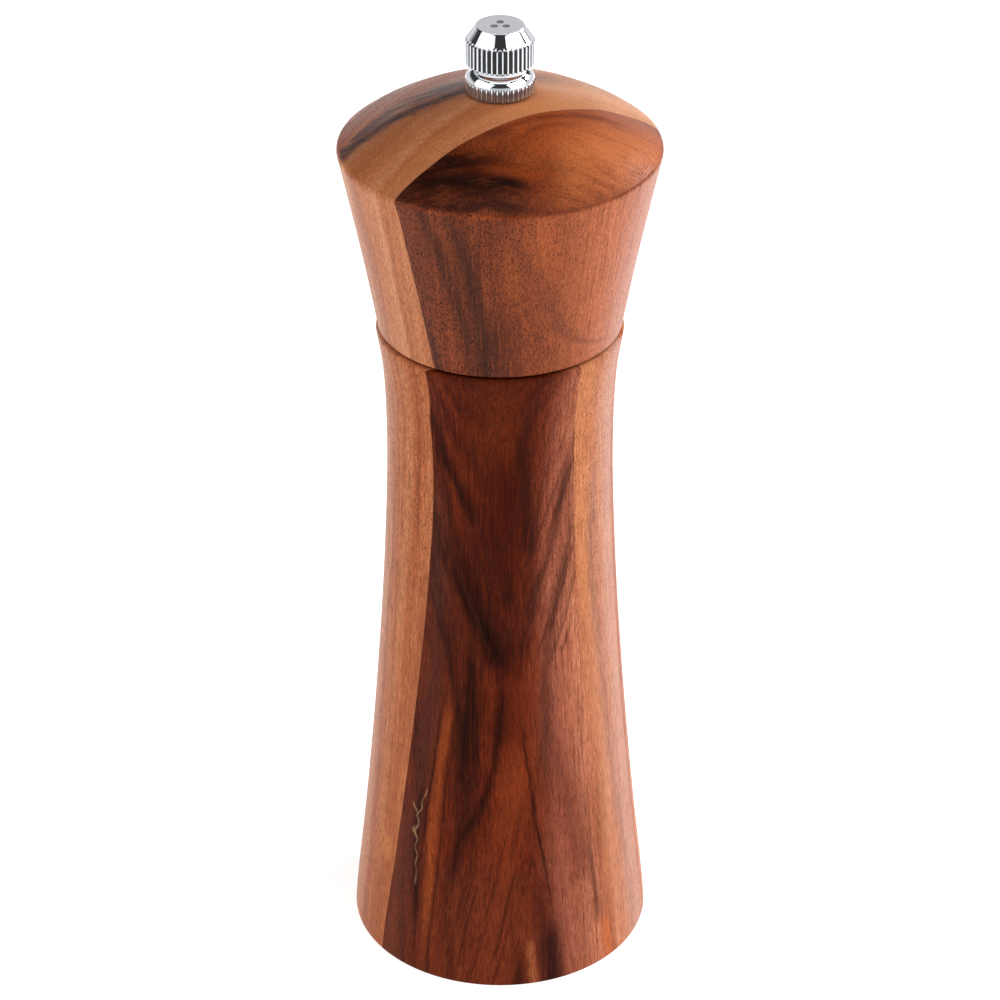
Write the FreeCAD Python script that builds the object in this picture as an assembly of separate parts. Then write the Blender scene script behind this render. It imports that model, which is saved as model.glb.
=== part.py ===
"""Wooden pepper mill with a conical ceramic grinder, in millimetres.

The origin is the centre of the base, +Z is up and the mill's axis is Z. The head twists on the body and
turns the square spindle; the knob on the spindle's thread sets the grind. The grinder is modelled at its
coarsest setting, with the spindle at the bottom of its travel.
"""
import FreeCAD
import Part
import math
import os
from FreeCAD import Vector

os.makedirs("parts", exist_ok=True)

# ---- driving dimensions ----
total_height = 215.0
seam_z = 148.7  # top of the body
seam_gap = 0.5  # between the body and the head
edge_round = 0.7  # turned edges of the wood
foot_round = 0.35  # lower edge, left crisper

# body, outside: radius and height of the points that the turned outline passes through
base_radius = 32.8
body_outline = [(32.37, 4.5), (29.70, 29.7), (26.60, 65.0), (24.59, 96.7), (23.82, 123.0), (24.48, 139.8)]
body_top_radius = 25.7

# body, inside
recess_radius = 25.0  # for the flange of the grinder
recess_depth = 4.0
mechanism_radius = 20.0
mechanism_top_z = 38.3
chamber_radius = 16.0  # holds the peppercorns

# head
head_bottom_radius = 25.4
head_side = [(27.62, 162.2), (30.28, 175.6)]
rim_low = (32.80, 187.5)
rim_mid = (32.93, 188.6)
rim_high = (32.30, 189.55)
dome_outline = [(29.0, 191.95), (25.0, 194.32), (20.0, 196.94), (14.0, 198.9)]
land_radius = 7.4  # flat under the knob
land_z = 200.75
spigot_radius = chamber_radius - 0.3
spigot_length = 12.0
head_bore_radius = 4.75

# knob
knob_radius = 7.0
knob_bottom_z = 201.1
knob_top_radius = 4.83
knob_flute_count = 40
knob_flute_radius = 0.42

# spindle
spindle_side = 6.0
spindle_corner = 0.5
spindle_bottom_z = 4.2
square_top_z = 192.0
thread_radius = 3.0
spindle_top_z = 209.2
spindle_travel = 2.0  # up, from the coarsest to the finest grind
running_clearance = 0.05

# drive plate and its screws
plate_radius = 13.5
plate_thickness = 1.5
plate_screw_circle = 9.5
screw_count = 3

# grinder, from the bottom up
flange_thickness = 2.6
housing_radius = 19.8
burr_seat_radius = 17.0
housing_throat_radius = 15.0
burr_bottom_z = 7.0
burr_top_z = 22.0
bridge_bottom_z = 34.1
bridge_top_z = 38.0
carrier_bottom_z = 4.0
carrier_flange = 2.0
inner_burr_bottom_z = 6.0
inner_burr_top_z = 20.0
washer_thickness = 0.8
spring_radius = 6.2
spring_wire = 1.0
spring_bottom_z = inner_burr_top_z + washer_thickness
spring_top_z = 31.8
spring_turns = 6
housing_screw_circle = 22.3


# ---- helpers ----
def point(radius, z):
    return Vector(radius, 0, z)


def line(start, end):
    return Part.LineSegment(point(*start), point(*end)).toShape()


def arc(start, middle, end):
    return Part.Arc(point(*start), point(*middle), point(*end)).toShape()


def curve(points):
    spline = Part.BSplineCurve()
    spline.interpolate([point(*p) for p in points])
    return spline.toShape()


def path(points):
    return [line(a, b) for a, b in zip(points, points[1:])]


def turn(edges):
    """Turns a closed outline of edges, each starting where the last one ends, about the mill's axis."""
    face = Part.Face(Part.Wire(edges))
    return face.revolve(Vector(0, 0, 0), Vector(0, 0, 1), 360)


def turned(points):
    return turn(path(points + [points[0]]))


def cylinder(radius, bottom, top, x=0.0, y=0.0):
    return Part.makeCylinder(radius, top - bottom, Vector(x, y, bottom))


def ring(outer, inner, bottom, top):
    return cylinder(outer, bottom, top).cut(cylinder(inner, bottom - 1, top + 1))


def square_bar(side, bottom, top, corner=0.0):
    bar = Part.makeBox(side, side, top - bottom, Vector(-side / 2, -side / 2, bottom))
    if corner:
        upright = [e for e in bar.Edges if abs(e.tangentAt(e.FirstParameter).z) > 0.9]
        bar = bar.makeFillet(corner, upright)
    return bar


def around_axis(shape, count, start=0.0):
    """Copies of a shape, evenly spaced round the mill's axis."""
    copies = []
    for i in range(count):
        copy = shape.copy()
        copy.rotate(Vector(0, 0, 0), Vector(0, 0, 1), start + 360.0 * i / count)
        copies.append(copy)
    return copies


def groove(low, high, depth_radius, twist):
    """Round cutter laid along a cone from low to high, both (radius, z), twisted by an angle in degrees."""
    start = point(*low)
    turn_angle = math.radians(twist)
    end = Vector(high[0] * math.cos(turn_angle), high[0] * math.sin(turn_angle), high[1])
    return Part.makeCylinder(depth_radius, (end - start).Length, start, end - start)


def save(shape, name):
    if not shape.isValid():
        raise ValueError(name + " is not valid")
    shape.exportStep("parts/" + name + ".step")


# ---- screws: a point at the far end, a cross recess in the head ----
def cross_recess(size, depth, bottom):
    slots = [Part.makeBox(size, size / 4, depth), Part.makeBox(size / 4, size, depth)]
    slots[0].translate(Vector(-size / 2, -size / 8, bottom))
    slots[1].translate(Vector(-size / 8, -size / 2, bottom))
    return slots[0].fuse(slots[1])


def screw_at(head_profile, shank_top, head_bottom, recess, x):
    """Screw pointing up, with its head at the bottom; the head's profile ends on the shank."""
    shank_radius = head_profile[-1][0]
    tip = shank_radius * 1.6
    outline = head_profile + [(shank_radius, shank_top - tip), (0.2, shank_top), (0, shank_top)]
    screw = turned([(0, head_bottom)] + outline)
    screw = screw.cut(cross_recess(recess, recess * 0.35, head_bottom))
    screw.translate(Vector(x, 0, 0))
    return screw


# ---- wooden body ----
plate_screw_radius = 1.2
housing_screw_radius = 1.3
flange_bottom = recess_depth - flange_thickness
housing_screw_top = 16.0


def make_body():
    r = edge_round
    foot = foot_round
    low = (base_radius - 0.1, foot)
    rim = (body_top_radius, seam_z - r)
    inner_rim = 0.8
    outside = curve([low] + body_outline + [rim])
    edges = path([(recess_radius + 0.5, 0), (low[0] - foot, 0)])
    edges += [arc((low[0] - foot, 0), (low[0] - 0.3 * foot, 0.3 * foot), low)]
    edges += [outside]
    edges += [arc(rim, (body_top_radius - 0.25 * r, seam_z - 0.25 * r), (body_top_radius - r, seam_z))]
    edges += path(
        [
            (body_top_radius - r, seam_z),
            (chamber_radius + inner_rim, seam_z),
            (chamber_radius, seam_z - inner_rim),
            (chamber_radius, mechanism_top_z),
            (mechanism_radius, mechanism_top_z),
            (mechanism_radius, recess_depth),
            (recess_radius, recess_depth),
            (recess_radius, 0.5),
            (recess_radius + 0.5, 0),
        ]
    )
    pilot = cylinder(housing_screw_radius, recess_depth - 1, housing_screw_top, housing_screw_circle)
    return turn(edges).cut(Part.makeCompound(around_axis(pilot, screw_count)))


# ---- wooden head ----
spigot_bottom = seam_z + seam_gap - spigot_length
bush_flange_radius = 6.2
bush_flange = 1.0
bush_bottom = 195.2


def make_head():
    r = edge_round * 0.7
    bottom = seam_z + seam_gap
    side_start = (head_bottom_radius, bottom + r)
    edges = path(
        [
            (head_bore_radius, spigot_bottom),
            (spigot_radius - 0.6, spigot_bottom),
            (spigot_radius, spigot_bottom + 0.6),
            (spigot_radius, bottom),
            (head_bottom_radius - r, bottom),
        ]
    )
    edges += [arc((head_bottom_radius - r, bottom), (head_bottom_radius - 0.25 * r, bottom + 0.25 * r), side_start)]
    edges += [curve([side_start] + head_side + [rim_low])]
    edges += [arc(rim_low, rim_mid, rim_high)]
    edges += [curve([rim_high] + dome_outline + [(land_radius, land_z)])]
    edges += path(
        [
            (land_radius, land_z),
            (bush_flange_radius, land_z),
            (bush_flange_radius, land_z - bush_flange),
            (head_bore_radius, land_z - bush_flange),
            (head_bore_radius, spigot_bottom),
        ]
    )
    pilot = cylinder(plate_screw_radius, spigot_bottom - 1, spigot_bottom + 9, plate_screw_circle)
    return turn(edges).cut(Part.makeCompound(around_axis(pilot, screw_count)))


def make_head_bush():
    hole = thread_radius + running_clearance
    sleeve = ring(head_bore_radius, hole, bush_bottom, land_z)
    flange = ring(bush_flange_radius, hole, land_z - bush_flange, land_z)
    return sleeve.fuse(flange).removeSplitter()


# ---- knob: a conical top over a fluted band, a neck, a sloping shoulder and a lower fluted band ----
def make_knob():
    low_band_top = 203.9
    neck_z = 205.9
    neck_radius = 5.3
    high_band_z = 207.2
    cone_z = 212.1
    bottom = knob_bottom_z
    edges = path(
        [
            (0, 212.0),
            (thread_radius + running_clearance, 212.0),
            (thread_radius + running_clearance, bottom + 0.6),
            (thread_radius + 0.65, bottom),
            (knob_radius - 0.3, bottom),
            (knob_radius, bottom + 0.3),
            (knob_radius, low_band_top - 0.3),
            (knob_radius - 0.25, low_band_top),
        ]
    )
    edges += [arc((knob_radius - 0.25, low_band_top), (6.35, 205.05), (neck_radius, neck_z))]
    edges += path(
        [
            (neck_radius, neck_z),
            (neck_radius, neck_z + 0.5),
            (neck_radius + 0.5, neck_z + 0.7),
            (knob_radius - 0.8, neck_z + 0.8),
            (knob_radius - 0.05, high_band_z),
            (knob_radius - 0.05, cone_z),
            (knob_top_radius + 0.12, total_height - 0.12),
            (knob_top_radius - 0.1, total_height),
            (0, total_height),
            (0, 212.0),
        ]
    )
    knob = turn(edges)
    flute = cylinder(knob_flute_radius, bottom - 1, low_band_top - 0.05, knob_radius + 0.05)
    low_flutes = around_axis(flute, knob_flute_count)
    flute = cylinder(knob_flute_radius, neck_z + 1.0, cone_z + 1.0, knob_radius + 0.05)
    high_flutes = around_axis(flute, knob_flute_count)
    return knob.cut(Part.makeCompound(low_flutes + high_flutes))


# ---- spindle: square below, threaded at the top, tapped at the bottom ----
def make_spindle():
    square = square_bar(spindle_side, spindle_bottom_z, square_top_z, spindle_corner)
    relief = cylinder(2.55, square_top_z, square_top_z + 1.5)
    chamfer = 0.6
    tip = turned(
        [
            (0, square_top_z + 1.5),
            (thread_radius - 0.45, square_top_z + 1.5),
            (thread_radius, square_top_z + 2.0),
            (thread_radius, spindle_top_z - chamfer),
            (thread_radius - chamfer, spindle_top_z),
            (0, spindle_top_z),
        ]
    )
    tapped_hole = cylinder(1.5, spindle_bottom_z - 1, spindle_bottom_z + 11)
    return square.fuse([relief, tip]).cut(tapped_hole).removeSplitter()


# ---- drive plate under the head ----
plate_top = spigot_bottom
plate_bottom = plate_top - plate_thickness
square_hole = spindle_side + 0.2


def make_drive_plate():
    plate = cylinder(plate_radius, plate_bottom, plate_top)
    plate = plate.makeChamfer(0.25, [e for e in plate.Edges if len(e.Vertexes) == 1])
    hole = square_bar(square_hole, plate_bottom - 1, plate_top + 1)
    screw_hole = cylinder(plate_screw_radius + 0.3, plate_bottom - 1, plate_top + 1, plate_screw_circle)
    return plate.cut(Part.makeCompound([hole] + around_axis(screw_hole, screw_count)))


def make_drive_plate_screws():
    head_bottom = plate_bottom - 1.4
    head = [(1.5, head_bottom), (2.2, head_bottom + 0.4), (2.4, head_bottom + 0.9), (2.4, plate_bottom)]
    head += [(plate_screw_radius, plate_bottom)]
    screw = screw_at(head, spigot_bottom + 9, head_bottom, 2.0, plate_screw_circle)
    return Part.makeCompound(around_axis(screw, screw_count))


# ---- grinder housing and what is fixed in it ----
def make_grinder_housing():
    flange_radius = recess_radius - 0.2
    housing = turned(
        [
            (burr_seat_radius, flange_bottom),
            (flange_radius - 0.5, flange_bottom),
            (flange_radius, flange_bottom + 0.5),
            (flange_radius, recess_depth),
            (housing_radius, recess_depth),
            (housing_radius, bridge_top_z),
            (burr_seat_radius, bridge_top_z),
            (burr_seat_radius, bridge_bottom_z),
            (housing_throat_radius, bridge_bottom_z),
            (housing_throat_radius, burr_top_z),
            (burr_seat_radius, burr_top_z),
        ]
    )
    countersink = turned([(0, flange_bottom - 0.01), (2.4, flange_bottom - 0.01), (1.3, 2.9), (1.3, 5.0), (0, 5.0)])
    countersink.translate(Vector(housing_screw_circle, 0, 0))
    notch = Part.makeBox(3.0, 4.0, 3.0, Vector(housing_radius - 1.6, -2.0, bridge_top_z - 3.0))
    cuts = around_axis(countersink, screw_count) + around_axis(notch, screw_count, 60)
    return housing.cut(Part.makeCompound(cuts))


def make_housing_screws():
    head = [(2.2, flange_bottom), (2.25, flange_bottom + 0.1), (housing_screw_radius, 2.75)]
    screw = screw_at(head, housing_screw_top, flange_bottom, 2.2, housing_screw_circle)
    return Part.makeCompound(around_axis(screw, screw_count))


def make_bridge():
    hub_radius = 8.0
    bush_hole = 5.5 + running_clearance
    rim = ring(burr_seat_radius, burr_seat_radius - 1.8, bridge_bottom_z, bridge_top_z)
    hub = ring(hub_radius, bush_hole, bridge_bottom_z, bridge_top_z)
    reach = burr_seat_radius - 1.0 - (bush_hole + 1.0)
    arm = Part.makeBox(reach, 3.2, bridge_top_z - bridge_bottom_z - 0.8)
    arm.translate(Vector(bush_hole + 1.0, -1.6, bridge_bottom_z))
    return rim.fuse([hub] + around_axis(arm, 3, 30)).removeSplitter()


def make_spindle_bush():
    flange_top = bridge_bottom_z - 0.1
    flange_low = spring_top_z + washer_thickness
    sleeve = cylinder(5.5, flange_low, bridge_top_z + 1.4)
    sleeve = sleeve.fuse(cylinder(7.4, flange_low, flange_top)).removeSplitter()
    hole = square_bar(square_hole, flange_low - 1, bridge_top_z + 3, spindle_corner)
    return sleeve.cut(hole)


def make_outer_burr():
    throat_z = burr_bottom_z + 4.0
    low = (14.05, burr_bottom_z)
    throat = (12.45, throat_z)
    high = (13.60, burr_top_z)
    burr = turned([low, (burr_seat_radius, burr_bottom_z), (burr_seat_radius, burr_top_z), high, throat])
    fine = groove((low[0] + 0.28, low[1] - 0.3), (throat[0] + 0.2, throat[1] + 0.3), 0.55, 6)
    coarse = groove((throat[0] + 0.3, throat[1] + 0.6), (high[0] + 0.9, high[1] + 1.0), 1.2, 24)
    return burr.cut(Part.makeCompound(around_axis(fine, 48) + around_axis(coarse, 12)))


def make_burr_retaining_ring():
    return turned(
        [
            (14.8, burr_bottom_z - 1.8),
            (burr_seat_radius - 0.3, burr_bottom_z - 1.8),
            (burr_seat_radius, burr_bottom_z - 1.4),
            (burr_seat_radius, burr_bottom_z),
            (14.5, burr_bottom_z),
            (14.5, burr_bottom_z - 1.5),
        ]
    )


# ---- what turns and travels with the spindle ----
carrier_boss_radius = 5.6


def make_inner_burr():
    low = (13.2, inner_burr_bottom_z)
    middle = (11.6, inner_burr_bottom_z + 4.0)
    high = (6.9, inner_burr_top_z)
    burr = turned(
        [
            (carrier_boss_radius, low[1]),
            (low[0] - 0.3, low[1]),
            low,
            middle,
            high,
            (high[0] - 0.3, high[1]),
            (carrier_boss_radius, high[1]),
        ]
    )
    fine = groove((low[0] - 0.02, low[1] - 0.3), (middle[0] + 0.05, middle[1] + 0.3), 0.5, -6)
    coarse = groove((middle[0] + 0.6, middle[1]), (high[0] + 1.0, high[1] + 2.0), 1.5, -50)
    return burr.cut(Part.makeCompound(around_axis(fine, 44) + around_axis(coarse, 9)))


def make_burr_carrier():
    boss = cylinder(carrier_boss_radius, carrier_bottom_z, inner_burr_top_z)
    flange = cylinder(9.0, carrier_bottom_z, inner_burr_bottom_z)
    hole = square_bar(spindle_side, carrier_bottom_z - 1, inner_burr_top_z + 1, spindle_corner)
    return boss.fuse(flange).removeSplitter().cut(hole)


def make_spring():
    """Coil of flat facets: rings of points round the wire, stepped along the helix and joined."""
    sides = 8
    steps = 18 * spring_turns
    rise = spring_top_z - spring_bottom_z - spring_wire
    facet_radius = spring_wire / 2 * math.sqrt(math.pi / (sides * math.sin(math.pi / sides) * math.cos(math.pi / sides)))
    rings = []
    for i in range(steps + 1):
        angle = 2 * math.pi * spring_turns * i / steps
        outward = Vector(math.cos(angle), math.sin(angle), 0)
        centre = outward * spring_radius + Vector(0, 0, spring_bottom_z + spring_wire / 2 + rise * i / steps)
        corners = []
        for k in range(sides):
            turn_angle = 2 * math.pi * (k + 0.5) / sides
            offset = outward * math.cos(turn_angle) + Vector(0, 0, math.sin(turn_angle))
            corners.append(centre + offset * facet_radius)
        rings.append(corners)
    faces = [Part.Face(Part.makePolygon(end + end[:1])) for end in (rings[0], rings[-1])]
    for here, ahead in zip(rings, rings[1:]):
        for k in range(sides):
            m = (k + 1) % sides
            for a, b, c in ((here[k], here[m], ahead[m]), (here[k], ahead[m], ahead[k])):
                faces.append(Part.Face(Part.makePolygon([a, b, c, a])))
    return Part.Solid(Part.Shell(faces))


def make_burr_screw():
    top = carrier_bottom_z - washer_thickness
    head_bottom = top - 1.6
    head = [(1.8, head_bottom), (2.5, head_bottom + 0.4), (2.75, head_bottom + 1.0), (2.75, top), (1.5, top)]
    return screw_at(head, spindle_bottom_z + 9.0, head_bottom, 2.4, 0.0)


parts = {
    "body": make_body(),
    "head": make_head(),
    "head_bush": make_head_bush(),
    "knob": make_knob(),
    "spindle": make_spindle(),
    "drive_plate": make_drive_plate(),
    "drive_plate_screws": make_drive_plate_screws(),
    "grinder_housing": make_grinder_housing(),
    "housing_screws": make_housing_screws(),
    "bridge": make_bridge(),
    "spindle_bush": make_spindle_bush(),
    "upper_spring_washer": ring(7.2, 4.7, spring_top_z, spring_top_z + washer_thickness),
    "spring": make_spring(),
    "lower_spring_washer": ring(7.2, 4.7, inner_burr_top_z, spring_bottom_z),
    "outer_burr": make_outer_burr(),
    "burr_retaining_ring": make_burr_retaining_ring(),
    "inner_burr": make_inner_burr(),
    "burr_carrier": make_burr_carrier(),
    "burr_washer": ring(5.0, 1.6, carrier_bottom_z - washer_thickness, carrier_bottom_z),
    "burr_screw": make_burr_screw(),
}

for name, shape in parts.items():
    save(shape, name)
    print(name, "solids", len(shape.Solids), "volume", round(shape.Volume, 1), "valid", shape.isValid())
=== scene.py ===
"""Pepper mill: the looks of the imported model.

Lengths are given in millimetres and turned into metres where meshes and nodes are made. The wooden body,
the wooden head, the knob, the spindle and the spring get finer meshes than the CAD; every other node
keeps its own mesh and gets a material.
"""

import math

import bpy
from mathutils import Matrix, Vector


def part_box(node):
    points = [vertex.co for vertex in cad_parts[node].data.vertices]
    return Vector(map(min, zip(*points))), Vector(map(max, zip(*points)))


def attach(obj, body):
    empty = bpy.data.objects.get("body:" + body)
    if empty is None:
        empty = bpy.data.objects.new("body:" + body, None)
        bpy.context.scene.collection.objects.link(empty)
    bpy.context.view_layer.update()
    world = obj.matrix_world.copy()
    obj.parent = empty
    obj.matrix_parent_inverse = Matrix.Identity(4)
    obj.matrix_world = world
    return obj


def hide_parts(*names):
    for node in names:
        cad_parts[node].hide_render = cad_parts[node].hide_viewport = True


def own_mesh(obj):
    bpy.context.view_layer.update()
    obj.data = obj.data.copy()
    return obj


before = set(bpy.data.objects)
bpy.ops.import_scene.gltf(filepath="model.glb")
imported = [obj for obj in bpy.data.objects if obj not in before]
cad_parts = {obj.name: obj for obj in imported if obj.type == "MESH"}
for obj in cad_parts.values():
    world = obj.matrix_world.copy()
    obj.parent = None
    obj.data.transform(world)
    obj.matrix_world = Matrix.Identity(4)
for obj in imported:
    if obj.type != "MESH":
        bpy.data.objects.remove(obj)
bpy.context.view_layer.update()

MM = 0.001

# ---- sizes, in millimetres
# body, with its top at the seam
SEAM = 148.7
SEAM_GAP = 0.5
FOOT_RADIUS = 32.7
FOOT_ROUND = 0.35
BODY_TOP_ROUND = 0.7
LIGHT_STOP = 0.38  # height of a ring inside the seam, so that no light passes right through under the head
CHAMBER_RADIUS = 16.0
HOUSING_SEAT_RADIUS = 20.0
HOUSING_SEAT_TOP = 38.3
FLANGE_SEAT_RADIUS = 25.0
FLANGE_SEAT_TOP = 4.0

# head
HEAD_BOTTOM = SEAM + SEAM_GAP
HEAD_BORE = 4.75
SPIGOT_LENGTH = 12.0
SPIGOT_RADIUS = 15.7
SPIGOT_ROUND = 0.6
BUSH_SEAT_RADIUS = 6.2
BUSH_SEAT_BOTTOM = 199.75
HEAD_TOP = 200.75

# knob: two fluted bands with a neck between them, a cone and a flat top
KNOB_BORE = 3.05
KNOB_BOTTOM = 201.1
LOWER_BAND_TOP = 203.6
LOWER_FLUTES_TOP = 203.85
UPPER_FLUTES_BOTTOM = 206.55
UPPER_BAND_BOTTOM = 207.2
KNOB_SHOULDER = 212.0
KNOB_TOP = 215.0
KNOB_TOP_RADIUS = 4.83
FLUTES = 40
FLUTE_RADIUS = 0.42
FLUTE_AXIS = 7.05  # how far from the mill's axis the flutes' round bottoms are centred

# spindle
ROD_HALF_WIDTH = 3.0
ROD_ROUND = 0.5
ROD_CHAMFER = 0.3
SQUARE_TOP = 192.0
ROD_SHOULDER = 2.7
THREAD_PITCH = 1.0
THREAD_CREST = 2.98
THREAD_ROOT = 2.45

# spring
COIL_RADIUS = 6.2
WIRE_RADIUS = 0.5
COILS = 6.0
CLOSED_COILS = 0.85  # turns that lie flat at each end
CLOSED_CLIMB = 0.25  # how far they climb in a turn


# ---- mesh helpers
def new_object(name, verts, faces, material, sharp_deg=32):
    """Mesh object from points in millimetres, smooth except over edges sharper than sharp_deg."""
    mesh = bpy.data.meshes.new(name)
    mesh.from_pydata([(x * MM, y * MM, z * MM) for x, y, z in verts], [], faces)
    mesh.update()
    mesh.shade_smooth()
    mesh.set_sharp_from_angle(angle=math.radians(sharp_deg))
    mesh.materials.append(material)
    obj = bpy.data.objects.new(name, mesh)
    bpy.context.scene.collection.objects.link(obj)
    return obj


def skin(rows, around, closed=False):
    """Faces that join each ring of points to the next, and the last to the first if closed."""
    faces = []
    for i in range(rows if closed else rows - 1):
        here = i * around
        ahead = (i + 1) % rows * around
        for k in range(around):
            m = (k + 1) % around
            faces.append((here + k, here + m, ahead + m, ahead + k))
    return faces


def lathe(name, profile, material, segments=256):
    """Closed outline of (radius, z) points, anticlockwise seen with the axis on the left, turned about Z."""
    verts = []
    for r, z in profile:
        for k in range(segments):
            a = 2 * math.pi * k / segments
            verts.append((r * math.cos(a), r * math.sin(a), z))
    return new_object(name, verts, skin(len(profile), segments, closed=True), material)


def spline(points, step=1.2):
    """Smooth run through the points: Catmull-Rom with chord-length spacing, one point about every step."""
    first = [2 * a - b for a, b in zip(points[0], points[1])]
    last = [2 * a - b for a, b in zip(points[-1], points[-2])]
    p = [Vector(q) for q in [first] + list(points) + [last]]
    out = []
    for i in range(1, len(p) - 2):
        a, b, c, d = p[i - 1:i + 3]
        length = (c - b).length
        start = ((b - a) / (b - a).length + (c - b) / length) / 2 * length
        end = ((c - b) / length + (d - c) / (d - c).length) / 2 * length
        count = max(1, round(length / step))
        for k in range(count):
            t = k / count
            from_b = (2 * t ** 3 - 3 * t ** 2 + 1) * b + (t ** 3 - 2 * t ** 2 + t) * start
            from_c = (3 * t ** 2 - 2 * t ** 3) * c + (t ** 3 - t ** 2) * end
            out.append(tuple(from_b + from_c))
    out.append(tuple(points[-1]))
    return out


def corner(centre, radius, start_deg, end_deg, steps=6):
    """Points of a round between two angles, measured from +radius towards +z."""
    out = []
    for k in range(steps + 1):
        a = math.radians(start_deg + (end_deg - start_deg) * k / steps)
        out.append((centre[0] + radius * math.cos(a), centre[1] + radius * math.sin(a)))
    return out


# ---- shader helpers
def srgb(red, green, blue):
    """Linear colour from the 0 to 255 values of a display colour."""
    def linear(c):
        c /= 255
        return c / 12.92 if c <= 0.04045 else ((c + 0.055) / 1.055) ** 2.4
    return (linear(red), linear(green), linear(blue), 1.0)


SHARES = (0.0, 1.0)


class Shader:
    """A node material, built with short calls; lengths on its sockets are in millimetres."""

    def __init__(self, name, **constants):
        self.material = bpy.data.materials.new(name)
        self.material.use_nodes = True
        self.nodes = self.material.node_tree.nodes
        self.links = self.material.node_tree.links
        self.bsdf = self.nodes["Principled BSDF"]
        for socket, value in constants.items():
            self.bsdf.inputs[socket.replace("_", " ")].default_value = value
        place = self.nodes.new("ShaderNodeTexCoord").outputs["Object"]
        self.place = self.vector("SCALE", place, scale=1 / MM)
        split = self.nodes.new("ShaderNodeSeparateXYZ")
        self.links.new(self.place, split.inputs[0])
        self.x, self.y, self.z = split.outputs

    def put(self, socket, value):
        """Links a socket to another, or sets it to a constant; None leaves it alone."""
        if isinstance(value, bpy.types.NodeSocket):
            self.links.new(value, socket)
        elif value is not None:
            socket.default_value = value

    def math(self, operation, a, b=None, c=None, clamp=False):
        node = self.nodes.new("ShaderNodeMath")
        node.operation = operation
        node.use_clamp = clamp
        for socket, value in zip(node.inputs, (a, b, c)):
            self.put(socket, value)
        return node.outputs[0]

    def add(self, *terms):
        total = terms[0]
        for term in terms[1:]:
            total = self.math("ADD", total, term)
        return total

    def times(self, a, b):
        return self.math("MULTIPLY", a, b)

    def vector(self, operation, a, b=None, scale=None):
        node = self.nodes.new("ShaderNodeVectorMath")
        node.operation = operation
        self.put(node.inputs[0], a)
        self.put(node.inputs[1], b)
        self.put(node.inputs["Scale"], scale)
        return node.outputs[0]

    def point(self, x, y, z):
        node = self.nodes.new("ShaderNodeCombineXYZ")
        for socket, value in zip(node.inputs, (x, y, z)):
            self.put(socket, value)
        return node.outputs[0]

    def grain(self, around, upright):
        """Place scaled around times across the mill and upright times along it."""
        return self.point(self.times(self.x, around), self.times(self.y, around), self.times(self.z, upright))

    def noise(self, where, detail, roughness=0.5, scale=1.0):
        node = self.nodes.new("ShaderNodeTexNoise")
        self.put(node.inputs["Vector"], where)
        node.inputs["Scale"].default_value = scale
        node.inputs["Detail"].default_value = detail
        node.inputs["Roughness"].default_value = roughness
        return node.outputs[0]

    def cells(self, where, scale=1.0):
        """Distance to the nearest of many scattered points."""
        node = self.nodes.new("ShaderNodeTexVoronoi")
        self.put(node.inputs["Vector"], where)
        node.inputs["Scale"].default_value = scale
        return node.outputs["Distance"]

    def span(self, value, low, high, to_low=0.0, to_high=1.0):
        """Smooth step from low..high to to_low..to_high, held at the ends."""
        node = self.nodes.new("ShaderNodeMapRange")
        node.interpolation_type = "SMOOTHSTEP"
        for socket, v in zip(node.inputs, (value, low, high, to_low, to_high)):
            self.put(socket, v)
        return node.outputs[0]

    def ramp(self, value, stops):
        node = self.nodes.new("ShaderNodeValToRGB")
        self.put(node.inputs[0], value)
        elements = node.color_ramp.elements
        while len(elements) < len(stops):
            elements.new(0.5)
        for element, (position, colour) in zip(elements, stops):
            element.position = position
            element.color = colour
        return node.outputs[0]

    def mix(self, share, a, b, blend="MIX"):
        node = self.nodes.new("ShaderNodeMix")
        node.data_type = "RGBA"
        node.blend_type = blend
        # of the Mix node's sockets, 6, 7 and output 2 are those for colours
        self.put(node.inputs[0], share)
        self.put(node.inputs[6], a)
        self.put(node.inputs[7], b)
        return node.outputs[2]

    def gamma(self, colour, power):
        node = self.nodes.new("ShaderNodeGamma")
        self.put(node.inputs[0], colour)
        node.inputs[1].default_value = power
        return node.outputs[0]

    def curve(self, value, reach, points, out_reach=SHARES):
        """Smooth curve through (input, output) points that lie within the two reaches."""
        (low, high), (out_low, out_high) = reach, out_reach
        node = self.nodes.new("ShaderNodeFloatCurve")
        line = node.mapping.curves[0]
        placed = []
        for a, b in sorted(points):
            placed.append(((a - low) / (high - low), (b - out_low) / (out_high - out_low)))
        while len(line.points) < len(placed):
            line.points.new(0.5, 0.5)
        for knot, (a, b) in zip(line.points, placed):
            knot.location = (a, b)
        node.mapping.update()
        share = self.math("DIVIDE", self.math("SUBTRACT", value, low), high - low)
        self.put(node.inputs["Value"], share)
        return self.add(self.times(node.outputs[0], out_high - out_low), out_low)

    def bump(self, height, distance):
        node = self.nodes.new("ShaderNodeBump")
        node.inputs["Strength"].default_value = 1.0
        node.inputs["Distance"].default_value = distance * MM
        self.put(node.inputs["Height"], height)
        self.put(self.bsdf.inputs["Normal"], node.outputs[0])

    def finish(self, colour, roughness):
        self.put(self.bsdf.inputs["Base Color"], colour)
        self.put(self.bsdf.inputs["Roughness"], roughness)
        return self.material


# ---- wood
# display colours of the timber
INK = srgb(34, 12, 7)
UMBER = srgb(66, 26, 14)
GREY_BROWN = srgb(76, 46, 38)
MAROON = srgb(88, 34, 22)
RUSSET = srgb(118, 50, 26)
CHESTNUT = srgb(150, 74, 40)
ORANGE = srgb(186, 100, 56)
HONEY = srgb(216, 136, 78)
TAN = srgb(198, 124, 82)
# painted sheen: a pale pink that stands for the grazing haze along the body's left edge
PAINTED_SHEEN_PINK = srgb(222, 164, 134)
CREAM = srgb(186, 146, 104)


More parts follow.
